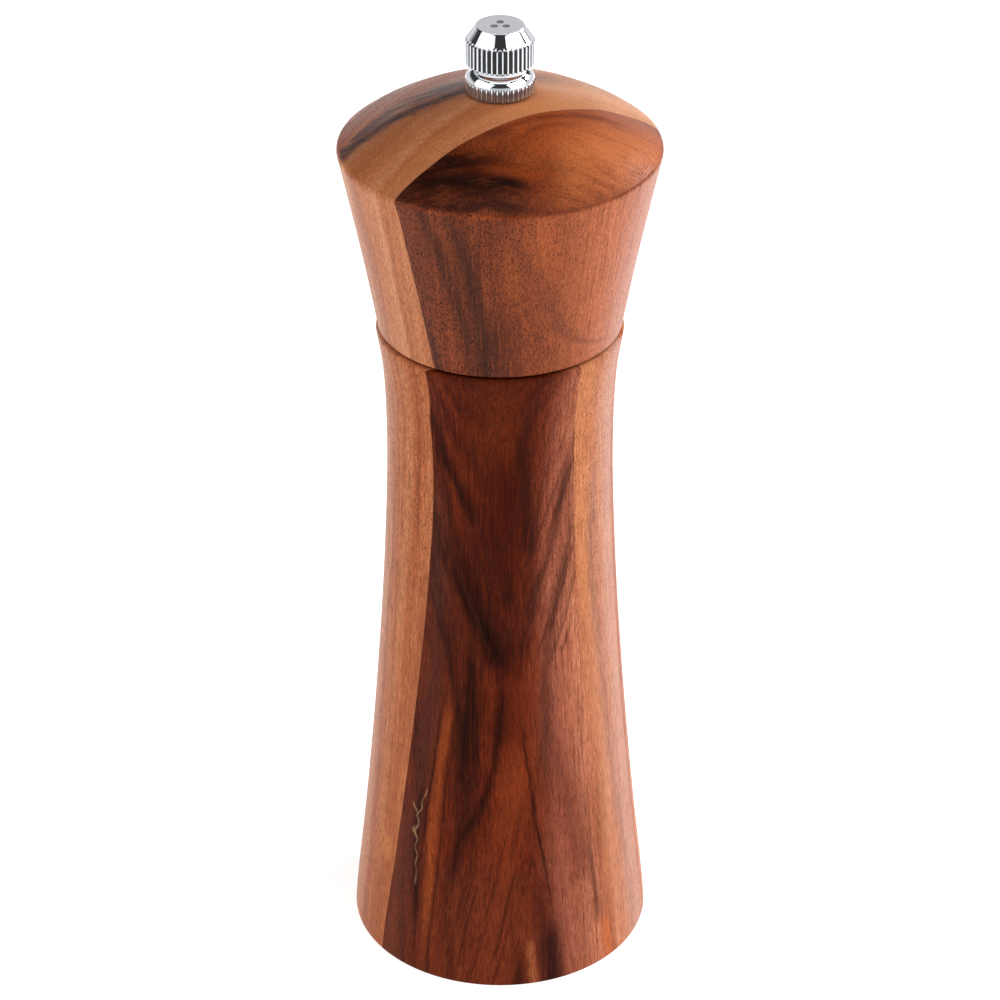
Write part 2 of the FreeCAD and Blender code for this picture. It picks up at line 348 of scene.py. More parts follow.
class Board:
    """One board of the glued blank: how its growth layers lie and what they look like."""

    def __init__(self, stops, tilt, bow, centre, layer, fine, streak, seed):
        self.stops = stops  # colours from the darkest late wood to the lightest
        self.tilt = tilt  # how fast the layers climb along the mill
        self.bow = bow  # bend of the layers across the board, 1/mm
        self.centre = centre  # where the bend turns, mm
        self.layer = layer  # broad layers per millimetre
        self.fine = fine  # share of fine rings
        self.streak = streak  # contrast of the fibre streaks
        self.seed = seed  # shifts the noise, so that no two boards are alike


# reaches of the curves: heights on the body and on the head, millimetres across the dome,
# and how far to the side a streak's line can lie, in degrees or millimetres
BODY_HEIGHTS = (0.0, 150.0)
HEAD_HEIGHTS = (137.0, 201.0)
DOME_WIDTH = (-33.0, 33.0)
SIDEWAYS = (-90.0, 90.0)


def board_colour(s, board, across, depth):
    """Colour of a board; across and depth run along its width and its thickness, in millimetres."""
    def scaled(sideways, upright, seed=None):
        height = s.times(s.z, upright)
        if seed is not None:
            height = s.add(height, seed)
        return s.point(s.times(across, sideways), s.times(depth, sideways), height)

    drift = s.noise(scaled(0.05, 0.014, board.seed), 2.0)
    ripple = s.noise(scaled(0.35, 0.045), 3.0, 0.6)
    bend = s.times(s.math("POWER", s.math("ABSOLUTE", s.add(across, -board.centre)), 2.0), board.bow)
    layer = s.add(depth, s.times(s.z, board.tilt), bend, s.times(drift, 7.0), s.times(ripple, 1.6))
    place = s.point(s.times(layer, board.layer), s.add(s.times(s.z, 0.006), board.seed), 0.0)
    broad = s.noise(place, 2.0, 0.55)
    rings = s.noise(s.point(s.times(layer, 1.5), s.times(s.z, 0.01), board.seed), 2.0, 0.5)
    fibre = s.noise(scaled(1.9, 0.075), 4.0, 0.65)
    tone = s.add(s.times(broad, 1.0 - board.fine), s.times(rings, board.fine))
    tone = s.add(tone, s.times(s.add(fibre, -0.5), board.streak))
    return s.ramp(s.span(tone, 0.24, 0.76), board.stops)


def with_ends(fade, reach):
    """The fade, with 0 at those ends of the reach that it doesn't give."""
    low, high = reach
    before = [] if fade[0][0] == low else [(low, 0)]
    after = [] if fade[-1][0] == high else [(high, 0)]
    return before + fade + after


def streaks(s, colour, across, along, reach, features, wander=4.6, grain=(0.75, 0.055), mask=1.0):
    """Lays streaks over the colour; each keeps to a line of (along, across) points with a soft width.

    Noise makes them wander to the sides, and breaks them up along the grain.
    """
    drift = s.noise(s.point(s.times(across, 0.16), s.times(along, 0.07), 3.0), 5.0, 0.72)
    across = s.add(across, s.times(s.add(drift, -0.5), wander))
    fibre = s.noise(s.point(s.times(across, grain[0]), s.times(along, grain[1]), 8.0), 4.0, 0.7)
    broken = s.times(s.span(fibre, 0.30, 0.58, 0.35, 1.0), mask)
    for tint, strength, width, line, fade in features:
        centre = s.curve(along, reach, line, SIDEWAYS)
        offset = s.math("DIVIDE", s.add(across, s.times(centre, -1.0)), width)
        near = s.math("POWER", math.e, s.times(s.times(offset, offset), -1.0))
        share = s.times(s.times(near, s.curve(along, reach, with_ends(fade, reach))), strength)
        colour = s.mix(s.math("MULTIPLY", share, broken, clamp=True), colour, tint)
    return colour


def finish_wood(s, colour, pores, figure, flecks):
    """Fibres, flecks, pores, cross figure and a satin oil finish over the timber's colour.

    pores, figure and flecks say how strongly each of them shows.
    """
    fibre = s.noise(s.grain(4.2, 0.16), 4.0, 0.65)
    fine = s.ramp(fibre, [(0.33, srgb(198, 188, 181)), (0.64, srgb(255, 255, 255))])
    colour = s.mix(1.0, colour, fine, "MULTIPLY")
    fleck = s.noise(s.grain(3.4, 0.42), 3.0, 0.7)
    colour = s.mix(s.times(s.span(fleck, 0.54, 0.70), flecks), colour, INK)
    cell = s.cells(s.grain(2.5, 1.0))
    patch = s.noise(s.grain(0.16, 0.06), 3.0)
    pore = s.times(s.span(cell, 0.18, 0.44, 1.0, 0.0), s.span(patch, 0.30, 0.52, 0.6, 1.0))
    colour = s.mix(s.math("MULTIPLY", pore, pores, clamp=True), colour, INK)
    cross = s.noise(s.grain(0.07, 0.24), 5.0, 0.72)
    shade = s.add(s.times(s.add(cross, -0.5), figure), 1.0)
    colour = s.mix(1.0, colour, s.point(shade, shade, shade), "MULTIPLY")
    height = s.add(s.times(fibre, 0.6), s.times(pore, -1.0))
    s.bump(height, 0.03)
    return s.finish(colour, s.add(s.times(fibre, 0.14), s.times(pore, 0.2), 0.26))


def glue_blend(s, colour, depth, plane, beyond):
    """Takes the colour of the next board past a glue plane, with a thin dark line in the joint."""
    past = s.math("GREATER_THAN", depth, plane)
    colour = s.mix(past, colour, beyond)
    line = s.span(s.math("ABSOLUTE", s.add(depth, -plane)), 0.05, 0.16, 0.55, 0.0)
    return s.mix(line, colour, UMBER)


def turned_angle(s):
    """Angle around the axis in degrees: 0 at the front, growing towards +X."""
    return s.times(s.math("ARCTAN2", s.x, s.times(s.y, -1.0)), 180 / math.pi)


# planes that the boards of the body are glued on, in millimetres along Y
BODY_FRONT_GLUE = -19.52
BODY_BACK_GLUE = 4.05
RIGHT_STEP = 14.0  # how much further back the front plane lies on the right of the mill


def heartwood(s, angle):
    """Dark front board of the body."""
    front = Board([(0.0, UMBER), (0.3, RUSSET), (0.62, srgb(134, 62, 33)), (1.0, CHESTNUT)],
                  -0.12, 0.004, 0.0, 0.42, 0.30, 0.75, 1.3)
    colour = board_colour(s, front, s.x, s.y)
    chevron = chevron_share(s, angle)
    fan = fan_share(s, angle)
    colour = s.gamma(streaks(s, colour, angle, s.z, BODY_HEIGHTS, HEARTWOOD), 1.2)
    colour = s.mix(fan, colour, srgb(70, 26, 12))
    colour = s.mix(chevron, colour, srgb(62, 26, 18))
    return streaks(s, colour, angle, s.z, BODY_HEIGHTS, CRACK, wander=2.2, grain=(0.8, 0.5))


def chevron_share(s, angle):
    """Broken V-shaped figure in the waist."""
    fold = s.add(s.z, s.times(s.math("ABSOLUTE", s.add(angle, -1.0)), -1.2))
    chevron = s.noise(s.point(s.times(fold, 0.22), s.times(angle, 0.05), 9.0), 4.0, 0.7)
    figured = s.curve(s.z, BODY_HEIGHTS,
                      [(0, 0), (76, 0), (88, 0.65), (104, 0.6), (128, 0.45), (142, 0.35), (150, 0.35)])
    return s.times(s.span(chevron, 0.47, 0.64), figured)


def fan_share(s, angle):
    """Dark lines that fan out above the foot, in the middle of the front."""
    slant = s.add(angle, s.times(s.z, -0.42))
    fan = s.noise(s.point(s.times(slant, 0.5), s.times(s.z, 0.03), 4.0), 4.0, 0.65)
    fanned = s.curve(s.z, BODY_HEIGHTS, [(0, 0.6), (36, 0.6), (52, 0), (150, 0)])
    fanned = s.times(fanned, s.span(s.math("ABSOLUTE", s.add(angle, 4.0)), 10.0, 19.0, 1.0, 0.0))
    return s.times(s.span(fan, 0.50, 0.60), fanned)


def past_heart_edge(s, angle):
    """Degrees past the wavy edge between heartwood and sapwood, over half the width of its blur."""
    wavy = s.noise(s.point(s.times(angle, 0.12), s.times(s.z, 0.16), 5.0), 3.0, 0.6)
    edge = s.add(s.curve(s.z, BODY_HEIGHTS, HEART_EDGE, SIDEWAYS), s.times(s.add(wavy, -0.5), 3.0))
    blur = s.curve(s.z, BODY_HEIGHTS, [(0, 3.0), (60, 6.0), (92, 3.5), (108, 0.8), (150, 0.5)], (0.0, 10.0))
    return s.math("DIVIDE", s.add(angle, s.times(edge, -1.0)), blur)


def body_wood():
    """Three boards, one behind another: dark heartwood with sapwood on its right, a light one, the back."""
    s = Shader("body_wood", Specular_IOR_Level=0.03)
    side = Board([(0.0, CHESTNUT), (0.3, srgb(178, 98, 62)), (0.65, TAN), (1.0, srgb(208, 138, 94))],
                 0.02, 0.01, 4.0, 0.25, 0.25, 0.35, 6.1)
    back = Board([(0.0, UMBER), (0.35, CHESTNUT), (0.7, ORANGE), (1.0, TAN)],
                 -0.05, 0.008, -6.0, 0.3, 0.3, 0.4, 11.7)
    angle = turned_angle(s)
    dark = heartwood(s, angle)
    light = board_colour(s, side, s.x, s.y)
    # sapwood streaks, with painted sheen along the body's right edge
    sap_and_sheen = streaks(s, light, angle, s.z, BODY_HEIGHTS, SAPWOOD_AND_EDGE_SHEEN)
    past = past_heart_edge(s, angle)
    front_half = s.mix(s.span(past, -1.0, 1.0), dark, sap_and_sheen)
    # the light board's streaks, with painted sheen along the body's left edge
    middle = streaks(s, light, angle, s.z, BODY_HEIGHTS, LEFT_BOARD)
    right = s.math("GREATER_THAN", s.x, 0.0)
    away = s.add(s.times(right, -RIGHT_STEP), s.span(s.z, 134, 150, 0.0, 1.4))
    colour = glue_blend(s, front_half, s.add(s.y, away), BODY_FRONT_GLUE, middle)
    colour = glue_blend(s, colour, s.y, BODY_BACK_GLUE, board_colour(s, back, s.x, s.y))
    pores = s.span(s.z, 60, 120, 0.10, 0.5)
    flecks = s.span(past, -1.0, 1.0, 0.62, 0.12)
    return finish_wood(s, colour, pores, 0.34, flecks)


# Streaks of the body, each as tint, strength, half width in degrees, the line it follows as
# (height, angle) and how it fades as (height, share). A fade is 0 at the ends it leaves out.
HEART_EDGE = [(0, 52), (25, 50), (45, 49), (60, 46), (80, 43), (95, 41), (108, 40.5), (126, 39.5), (150, 40)]
HEARTWOOD = [
    # broad tones
    (srgb(132, 76, 56), 0.5, 34, [(0, -8), (150, -8)], [(0, 1), (24, 0.9), (38, 0)]),
    (srgb(140, 82, 62), 0.7, 5, [(0, -49), (30, -46), (150, -40)], [(0, 1), (32, 0.9), (46, 0)]),
    (srgb(86, 36, 18), 0.8, 26, [(0, 0), (150, 0)], [(74, 0), (92, 0.8), (150, 1)]),
    (srgb(136, 66, 30), 0.8, 11, [(0, -1), (150, -1)],
     [(121, 0), (131, 0.9), (139, 0.9), (147, 0.4), (150, 0.3)]),
    (srgb(88, 28, 8), 0.75, 11, [(0, 2), (150, 2)], [(92, 0), (104, 0.7), (120, 1), (134, 0.2)]),
    (srgb(182, 114, 92), 1.0, 9, [(0, 29), (60, 28), (108, 28), (128, 31), (150, 36)],
     [(0, 0.7), (10, 0.9), (30, 0.9), (42, 0.75), (62, 1), (112, 1), (126, 0.8), (140, 0.55),
      (150, 0.3)]),
    (srgb(214, 146, 116), 1.0, 9, [(0, 43), (60, 42), (90, 40), (108, 42), (135, 40), (150, 42)],
     [(0, 0.9), (24, 0.8), (33, 0.6), (48, 0.8), (60, 1), (92, 1), (102, 0.7), (150, 0.6)]),
    (srgb(152, 76, 40), 0.85, 9, [(0, -6), (18, 0), (40, 4), (56, 9), (150, 9)],
     [(0, 0.7), (22, 0.5), (36, 0.9), (50, 1), (60, 0.2)]),
    (srgb(100, 64, 54), 0.85, 7.0,
     [(0, -44), (30, -43), (45, -39), (75, -33), (100, -31), (118, -34), (150, -36)],
     [(0, 0.35), (30, 0.5), (50, 0.8), (112, 1), (124, 0.3), (150, 0.1)]),
    (srgb(78, 40, 28), 0.7, 8, [(0, -16), (50, -17), (72, -18), (88, -24), (150, -28)],
     [(32, 0.2), (46, 0.9), (85, 0.9), (98, 0)]),
    (srgb(124, 62, 36), 0.8, 5, [(0, -12), (84, -12), (150, -12)],
     [(72, 0), (80, 0.9), (85, 0.6), (92, 0)]),
    (srgb(50, 17, 8), 0.9, 8.5, [(0, -3), (82, -2), (90, -7), (99, -14), (108, -22), (150, -30)],
     [(75, 0), (83, 0.9), (99, 0.8), (107, 0.4), (116, 0)]),
    (srgb(50, 20, 10), 0.85, 5, [(0, -15), (60, -13), (76, -12), (150, -12)],
     [(52, 0), (60, 0.9), (75, 0.9), (82, 0.3), (90, 0)]),
    (srgb(84, 32, 16), 0.7, 8, [(0, 2), (150, 2)], [(56, 0), (64, 0.9), (82, 0.9), (92, 0)]),
    # arms of the V
    (INK, 0.85, 3.2, [(0, -14), (112, -13), (120, -19), (127, -27), (134, -32), (150, -35)],
     [(110, 0), (115, 0.8), (130, 1), (140, 0.3), (150, 0.1)]),
    (INK, 0.95, 3.4, [(0, 2), (80, 0), (86, -5), (92, -13), (100, -22), (108, -31), (150, -40)],
     [(77, 0), (83, 1), (94, 0.9), (104, 0.5), (112, 0.2)]),
    (INK, 0.7, 3.2, [(0, 13), (108, 14), (118, 13), (130, 11), (140, 15), (150, 22)],
     [(104, 0), (109, 0.9), (120, 0.7), (130, 0.9), (142, 0.35), (150, 0.4)]),
    (INK, 0.7, 2.4, [(0, 4), (94, 3), (102, 4), (150, 8)], [(92, 0), (97, 1), (102, 0.8), (107, 0)]),
    (GREY_BROWN, 0.8, 2.4,
     [(0, 14), (90, 15), (98, 19), (105, 24), (112, 29), (120, 33), (127, 37), (150, 42)],
     [(84, 0), (92, 0.7), (112, 0.9), (118, 1), (126, 0.7), (134, 0)]),
    (GREY_BROWN, 0.75, 2.6, [(0, 20), (60, 22), (76, 22), (86, 25), (95, 28), (104, 34), (150, 46)],
     [(46, 0.4), (60, 0.8), (98, 0.8), (106, 0.3), (114, 0)]),
    # lower half
    (INK, 0.75, 3.0, [(0, -28), (28, -20), (40, -17), (55, -17), (66, -14), (80, -14), (150, -14)],
     [(22, 0.3), (34, 0.9), (80, 0.8), (90, 0)]),
    (INK, 0.75, 2.2, [(0, -26), (36, -17), (43, -10), (50, -5), (58, -2), (64, 0), (90, -1), (150, -1)],
     [(32, 0), (38, 0.8), (62, 1), (76, 0.6), (86, 0)]),
    (srgb(104, 56, 46), 0.8, 4.6, [(0, -40), (30, -41), (48, -38), (60, -35), (80, -32), (150, -30)],
     [(0, 0.3), (20, 0.6), (40, 1), (66, 0.9), (84, 0.1)]),
    (srgb(172, 94, 50), 0.9, 2.3, [(0, -32), (20, -31), (40, -30), (52, -28), (66, -25), (150, -20)],
     [(0, 0.2), (10, 0.4), (22, 0.9), (62, 0.9), (74, 0)]),
    (INK, 0.8, 0.9, [(0, -36), (18, -36), (38, -34), (46, -33), (58, -30), (72, -28), (150, -28)],
     [(0, 0.2), (14, 0.6), (30, 0.3), (45, 1), (62, 0.7), (74, 0)]),
    (INK, 0.75, 0.9, [(0, -30), (12, -29), (30, -27), (45, -25), (62, -22), (150, -20)],
     [(0, 0.6), (30, 0.8), (60, 0.7), (74, 0)]),
    (INK, 0.8, 0.8, [(0, 24), (22, 21), (30, 19), (40, 16), (52, 13), (62, 11), (150, 8)],
     [(18, 0.2), (30, 0.9), (56, 0.9), (70, 0.1)]),
    (srgb(132, 76, 60), 0.8, 5.0, [(0, 36), (30, 34), (44, 31), (56, 26), (72, 22), (150, 20)],
     [(18, 0), (28, 0.7), (50, 0.9), (66, 0.5), (80, 0.2), (100, 0)]),
    (UMBER, 0.8, 1.5, [(0, 43), (14, 43), (24, 42), (36, 40), (150, 36)],
     [(8, 0), (16, 0.9), (26, 0.8), (40, 0.1)]),
    (MAROON, 0.9, 5.0, [(0, 22), (10, 20), (20, 17), (30, 16), (150, 16)],
     [(0, 0.9), (20, 0.8), (30, 0.3), (38, 0)]),
    (srgb(58, 28, 26), 0.95, 4.0, [(0, 20.5), (10, 20.5), (150, 20)], [(0, 1), (10, 0.9), (18, 0)]),
    (UMBER, 0.85, 3.2, [(0, 7), (10, 9), (150, 10)], [(0, 1), (8, 0.7), (14, 0)]),
    (srgb(184, 112, 74), 1.0, 1.9, [(0, 13.2), (11, 11.6), (150, 11)],
     [(0, 1), (7, 1), (11.5, 0.3), (13, 0)]),
    (srgb(214, 128, 74), 0.8, 3.0, [(0, 48), (12, 47), (150, 47)],
     [(0, 0.6), (6, 1), (12, 0.1), (16, 0)]),
]
CRACK = [
    (srgb(30, 14, 12), 0.9, 1.7, [(0, -36.5), (18, -37), (34, -38.5), (44, -37), (150, -34)],
     [(12, 0.2), (20, 0.9), (42, 0.9), (49, 0)]),
    (CREAM, 0.85, 0.34,
     [(0, -37.5), (22, -37.4), (25, -37.1), (27, -38), (29, -37.4), (31, -38.9), (33, -37.9),
      (35, -39.2), (37, -37.4), (39, -38.4), (41, -36.4), (43, -36.3), (46, -34.2), (150, -30)],
     [(21, 0), (23, 0.6), (26, 0.3), (29, 0.9), (32, 0.4), (35, 1), (38, 0.5), (41, 0.9), (43.5, 0.4),
      (45.5, 0.9), (47, 0)]),
    (CREAM, 0.9, 0.5,
     [(0, -38), (33, -38.2), (35.5, -40.2), (36.5, -38), (40, -38.8), (41.4, -40.8), (150, -41)],
     [(33, 0), (34.5, 0.8), (36.5, 0.3), (39.5, 0.3), (41, 0.9), (42.2, 0)]),
]
SAPWOOD_AND_EDGE_SHEEN = [
    (srgb(206, 134, 88), 0.95, 8, [(0, 47), (110, 47), (150, 47)],
     [(88, 0), (104, 0.7), (128, 1), (150, 0.8)]),
    (srgb(190, 108, 66), 0.8, 4, [(0, 52), (130, 47), (150, 56)],
     [(122, 0), (130, 0.9), (138, 0.1), (150, 0.4)]),
    (srgb(202, 128, 84), 0.95, 2.8,
     [(0, 57), (30, 57), (45, 55), (60, 51), (75, 48.5), (95, 46), (110, 44.5), (150, 44)],
     [(0, 0.5), (30, 0.4), (55, 0.7), (90, 1), (115, 1), (150, 0.5)]),
    (srgb(112, 76, 66), 1.0, 2.6,
     [(0, 68), (20, 66), (40, 62), (55, 58.5), (70, 57), (80, 55), (95, 52), (108, 53), (122, 55.5),
      (150, 58)],
     [(0, 0.8), (50, 0.9), (90, 0.9), (118, 0.9), (126, 0)]),
    # painted sheen: pale pink haze along the body's right edge
    (srgb(198, 148, 130), 1.0, 14, [(0, 72), (60, 70), (150, 70)], [(0, 0.9), (60, 1), (150, 1)]),
    (srgb(196, 132, 104), 0.6, 6, [(0, 56), (150, 54)], [(0, 0.2), (40, 0.8), (118, 0.9), (128, 0.1)]),
]
LEFT_BOARD = [
    (srgb(150, 84, 56), 0.8, 5, [(0, -60), (50, -50), (60, -47), (90, -41), (150, -38)],
     [(0, 1), (20, 0.7), (30, 0.3), (44, 0.4), (60, 1), (92, 0.9), (102, 0.2)]),
    (srgb(192, 110, 70), 0.75, 9, [(0, -54), (60, -50), (110, -44), (150, -44)],
     [(0, 0.8), (150, 0.9)]),
    (srgb(150, 84, 54), 0.8, 1.4, [(0, -50), (108, -46), (130, -44), (150, -43)],
     [(100, 0), (112, 0.9), (140, 0.9), (148, 0.3)]),
    (srgb(158, 86, 56), 0.7, 1.0, [(0, -60), (60, -62), (76, -62), (150, -62)],
     [(40, 0.3), (68, 0.9), (125, 0.6)]),
    # painted sheen: pale pink haze along the body's left edge
    (PAINTED_SHEEN_PINK, 0.75, 14, [(0, -84), (150, -78)], [(0, 0.7), (150, 1)]),
    (HONEY, 0.85, 4.0, [(0, -56), (150, -56)], [(22, 0), (27, 1), (31, 0)]),
]


# the head's boards are turned this far from the body's, and glued on these planes
HEAD_BOARD_TURN = 31
HEAD_FRONT_GLUE = -11.06
HEAD_BACK_GLUE = 12.94


def head_wood():
    """Three boards, glued on upright planes that are turned from the body's."""
    s = Shader("head_wood", Specular_IOR_Level=0.10)
    turn = math.radians(HEAD_BOARD_TURN)
    across = s.add(s.times(s.x, math.cos(turn)), s.times(s.y, math.sin(turn)))
    depth = s.add(s.times(s.y, math.cos(turn)), s.times(s.x, -math.sin(turn)))
    front = Board([(0.0, RUSSET), (0.35, srgb(140, 70, 38)), (0.65, srgb(160, 84, 46)), (1.0, ORANGE)],
                  0.05, 0.01, 6.0, 0.16, 0.2, 0.35, 21.2)
    middle = Board([(0.0, srgb(174, 100, 62)), (0.35, srgb(193, 119, 77)), (0.7, srgb(207, 134, 92)),
                    (1.0, srgb(221, 158, 114))],
                   0.01, 0.003, 0.0, 0.2, 0.2, 0.35, 31.5)
    back = Board([(0.0, UMBER), (0.4, CHESTNUT), (0.75, ORANGE), (1.0, TAN)],
                 0.03, 0.006, 5.0, 0.25, 0.3, 0.35, 41.9)
    angle = turned_angle(s)
    on_dome = s.span(s.z, 188.6, 189.8)
    # the front board's streaks, with painted light on the head's right side
    dark = streaks(s, board_colour(s, front, across, depth), angle, s.z, HEAD_HEIGHTS, HEAD_SIDE)
    # with painted light on the dome's front right
    dark = streaks(s, dark, s.y, s.x, DOME_WIDTH, DOME_FRONT, wander=2.2, grain=(0.7, 0.12), mask=on_dome)
    dark = s.gamma(dark, 1.12)
    light = board_colour(s, middle, across, depth)
    # with painted light on the dome's top right
    light = streaks(s, light, s.y, s.x, DOME_WIDTH, DOME_LEFT, wander=2.4, grain=(0.7, 0.12), mask=on_dome)
    away = s.span(s.z, 186, 191, 0.7, 0.1)
    colour = glue_blend(s, dark, s.add(depth, away), HEAD_FRONT_GLUE, light)
    colour = glue_blend(s, colour, depth, HEAD_BACK_GLUE, board_colour(s, back, across, depth))
    pores = s.times(s.span(angle, -30, 55, 1.15, 0.3), s.span(depth, -11.9, -11.4, 1.0, 0.25))
    return finish_wood(s, colour, pores, 0.14, 0.4)


# Streaks of the head's side follow (height, angle), those of its dome (x, y).
HEAD_SIDE = [
    (srgb(128, 66, 40), 0.8, 9, [(137, -28), (170, -31), (188, -35), (201, -38)],
     [(137, 0.8), (188, 0.9), (189, 0)]),
    # painted light: the head's right side made lighter orange, for light from the right
    (srgb(206, 124, 80), 1.0, 25, [(137, 52), (160, 48), (188, 44), (201, 42)],
     [(137, 0.6), (155, 0.8), (188, 0.9), (189, 0)]),
    # painted light: pale pink along the head's right edge
    (srgb(200, 140, 118), 1.0, 15, [(137, 66), (201, 66)], [(137, 0.9), (188, 1), (189, 0)]),
    (srgb(84, 38, 20), 0.9, 12, [(137, -3), (160, -3), (170, -6), (201, -7)],
     [(137, 0.9), (155, 1), (168, 0.85), (188, 0.75), (189, 0)]),
    (srgb(66, 32, 18), 0.75, 3.4,
     [(137, -12), (160, -15), (168, -18), (178, -22), (188, -27), (201, -32)],
     [(137, 0.4), (155, 0.7), (165, 1), (188, 0.9), (189, 0)]),
    (srgb(62, 30, 17), 0.7, 3.0,
     [(137, -6), (150, -6), (158, -7), (168, -10), (178, -13), (188, -18), (201, -22)],
     [(137, 0.8), (160, 1), (188, 0.8), (189, 0)]),
    (srgb(66, 38, 32), 0.9, 2.2, [(137, -26), (150, -29), (156, -31), (164, -34), (201, -40)],
     [(137, 1), (157, 1), (166, 0)]),
    (srgb(176, 98, 50), 0.7, 4.5, [(137, 4), (201, 4)], [(160, 0), (174, 0.9), (188, 0.3), (189, 0)]),
    (srgb(190, 106, 60), 0.8, 6.5, [(137, 16), (201, 16)], [(158, 0), (176, 0.8), (188, 1), (189, 0)]),
    (srgb(112, 60, 42), 0.6, 4.4,
     [(137, 70), (152, 56), (154, 44), (156, 35), (160, 27), (166, 21), (172, 16), (179, 9), (187, 0),
      (201, -12)],
     [(151, 0.1), (154, 0.7), (160, 0.9), (172, 0.8), (188, 0.5), (189, 0)]),
]
DOME_FRONT = [
    (srgb(172, 88, 42), 0.9, 13, [(-33, -16), (33, -12)], [(-33, 1), (33, 0.9)]),
    # painted light: the dome's front right made lighter orange, for light from the right
    (srgb(216, 132, 80), 0.9, 11, [(-33, -20), (10, -22), (24, -13), (33, -8)],
     [(6, 0), (16, 0.9), (33, 1)]),
    (srgb(84, 36, 14), 0.9, 3.2, [(-33, -20), (-10, -30), (0, -31), (12, -31), (33, -20)],
     [(-33, 1), (1, 1), (7, 0.4), (13, 0)]),
    (srgb(56, 20, 7), 1.0, 5.6, [(-33, -14), (-16, -22), (-6, -25), (3, -27), (33, -27)],
     [(-33, 0.9), (-6, 1), (2, 0.8), (7, 0.1), (20, 0)]),
    (INK, 1.0, 2.0,
     [(-33, -14), (-18, -22.5), (-10, -25), (0, -26.6), (8, -26.4), (16, -24.5), (33, -16)],
     [(-33, 0.6), (-14, 1), (0, 1), (5, 0.6), (9, 0.1), (18, 0)]),
    (INK, 1.0, 2.4, [(-33, -10), (-13, -19.4), (-8, -21.5), (0, -22), (10, -22), (33, -16)],
     [(-33, 0.7), (-10, 1), (-5, 0.7), (2, 0.25), (14, 0.15), (22, 0)]),
    (UMBER, 0.7, 3.0, [(-33, -26), (-12, -17), (-2, -14.5), (4, -16), (33, -19)],
     [(-33, 0.6), (-10, 0.9), (0, 0.7), (5, 0)]),
    (srgb(168, 78, 32), 0.7, 1.3, [(-33, -24), (0, -24), (6, -24.2), (33, -22)],
     [(-6, 0.2), (3, 1), (9, 0.5), (14, 0)]),
    (srgb(112, 44, 26), 0.75, 0.9, [(-33, -33), (0, -14.4), (8, -9.6), (15, -6.2), (23, -3.4), (33, 2)],
     [(-3, 0.2), (6, 0.9), (18, 0.9), (26, 0.2)]),
    (srgb(118, 50, 28), 0.5, 0.7, [(-33, -20), (2, -17.5), (8, -12.6), (14, -9.8), (33, -6)],
     [(1, 0), (6, 0.9), (14, 0.7), (20, 0)]),
]
DOME_LEFT = [
    (srgb(172, 102, 58), 0.6, 12, [(-33, -14), (33, 4)], [(-33, 1), (33, 0)]),
    # lighter wood with painted light from the back right: the top of the dome grows lighter towards the right
    (srgb(226, 158, 110), 0.9, 12, [(-33, 4), (33, 8)], [(2, 0), (14, 0.9), (33, 1)]),
    (srgb(204, 132, 78), 0.75, 2.0, [(-33, -30), (-15, -18.4), (0, -10.2), (12, -3.6), (33, 8)],
     [(-33, 0.7), (33, 0.8)]),
    (srgb(84, 46, 42), 1.0, 4.4, [(-33, -4.6), (-20, 0.8), (-8, 4.4), (6, 8), (33, 18)],
     [(-33, 1), (-8, 1), (6, 0.7), (14, 0.3)]),
    (srgb(62, 28, 26), 1.0, 1.7, [(-33, -7.4), (-20, -3.6), (-8, -0.4), (33, 12)],
     [(-33, 1), (-6, 1), (2, 0)]),
    (srgb(84, 30, 18), 0.9, 0.5, [(-33, -5), (33, -5)], [(-17.8, 0), (-17, 1), (-16.2, 0)]),
]


# ---- metal, ceramic and plastic
DULLED = 0.72  # brightness of the dull patches of a metal


def metal(name, colour, roughness, streak, scale, bump=0.004):
    """Bright metal with fine marks stretched along the direction of its working."""
    s = Shader(name, Metallic=1.0)
    marks = s.noise(s.point(*(s.times(v, k) for v, k in zip((s.x, s.y, s.z), scale))), 5.0, 0.65)
    cloud = s.noise(s.place, 3.0, scale=0.22)
    dull = tuple(DULLED * c for c in colour[:3]) + (1.0,)
    tone = s.mix(s.span(s.add(s.times(cloud, 0.5), s.times(marks, 0.5)), 0.42, 0.68), colour, dull)
    s.bump(marks, bump)
    return s.finish(tone, s.add(s.times(marks, streak), s.times(cloud, 0.04), roughness))


